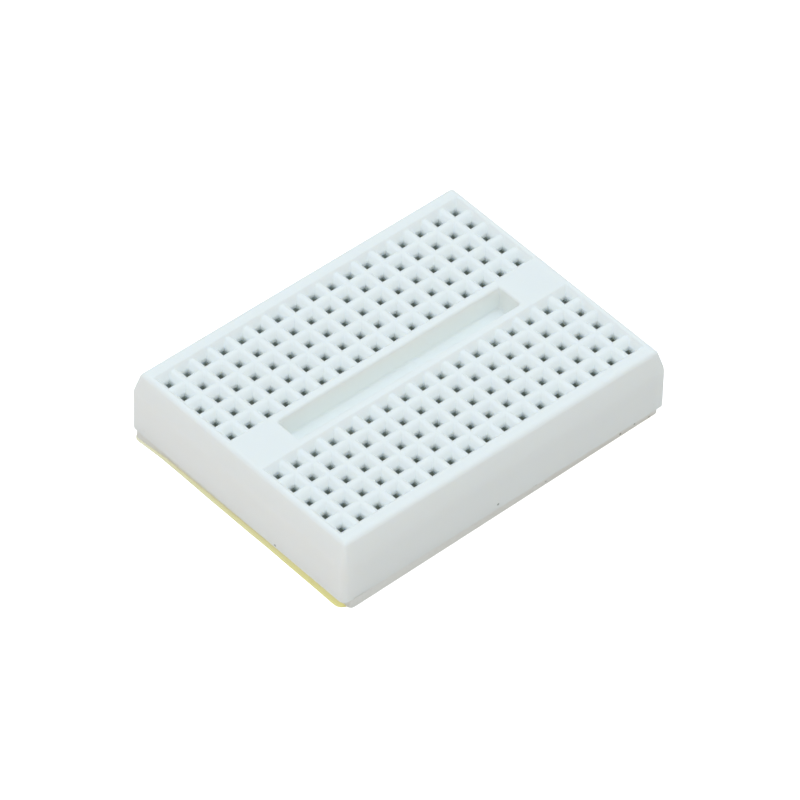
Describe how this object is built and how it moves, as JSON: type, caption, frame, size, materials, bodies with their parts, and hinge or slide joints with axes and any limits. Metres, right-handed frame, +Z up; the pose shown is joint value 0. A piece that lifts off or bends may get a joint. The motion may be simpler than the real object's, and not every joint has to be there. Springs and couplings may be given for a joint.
{
  "type": "solderless breadboard",
  "caption": "Small solderless breadboard: a grid of funnel-shaped holes over spring contact clips, a centre channel, and a foam adhesive pad with a peel-off liner.",
  "frame": {"origin": "under the middle of the board, on the surface that its release liner lies on", "axes": "+X along the long side, which the columns of holes are counted along; +Y across the board and across the centre channel; +Z up, out of the holes"},
  "size_m": [0.0458, 0.0346, 0.0096],
  "materials": {
    "white_abs": "satin moulded ABS",
    "nickel_plated_bronze": "bright nickel plate over phosphor bronze sheet",
    "foam": "matt closed-cell foam, adhesive on both faces",
    "liner_paper": "yellow silicone-coated release paper"
  },
  "bodies": {
    "board": {"housing": "white_abs", "foam_pad": "foam", "contact_clip_a01": "nickel_plated_bronze", "contact_clip_a02": "nickel_plated_bronze", "contact_clip_a03": "nickel_plated_bronze", "contact_clip_a04": "nickel_plated_bronze", "contact_clip_a05": "nickel_plated_bronze", "contact_clip_a06": "nickel_plated_bronze", "contact_clip_a07": "nickel_plated_bronze", "contact_clip_a08": "nickel_plated_bronze", "contact_clip_a09": "nickel_plated_bronze", "contact_clip_a10": "nickel_plated_bronze", "contact_clip_a11": "nickel_plated_bronze", "contact_clip_a12": "nickel_plated_bronze", "contact_clip_a13": "nickel_plated_bronze", "contact_clip_a14": "nickel_plated_bronze", "contact_clip_a15": "nickel_plated_bronze", "contact_clip_a16": "nickel_plated_bronze", "contact_clip_a17": "nickel_plated_bronze", "contact_clip_b01": "nickel_plated_bronze", "contact_clip_b02": "nickel_plated_bronze", "contact_clip_b03": "nickel_plated_bronze", "contact_clip_b04": "nickel_plated_bronze", "contact_clip_b05": "nickel_plated_bronze", "contact_clip_b06": "nickel_plated_bronze", "contact_clip_b07": "nickel_plated_bronze", "contact_clip_b08": "nickel_plated_bronze", "contact_clip_b09": "nickel_plated_bronze", "contact_clip_b10": "nickel_plated_bronze", "contact_clip_b11": "nickel_plated_bronze", "contact_clip_b12": "nickel_plated_bronze", "contact_clip_b13": "nickel_plated_bronze", "contact_clip_b14": "nickel_plated_bronze", "contact_clip_b15": "nickel_plated_bronze", "contact_clip_b16": "nickel_plated_bronze", "contact_clip_b17": "nickel_plated_bronze"},
    "liner": {"release_liner": "liner_paper"}
  },
  "joints": [
    {"name": "liner_peel", "type": "slide", "parent": "board", "child": "liner", "axis": [0, -1, 0], "range_m": [0, 0.036]}
  ]
}
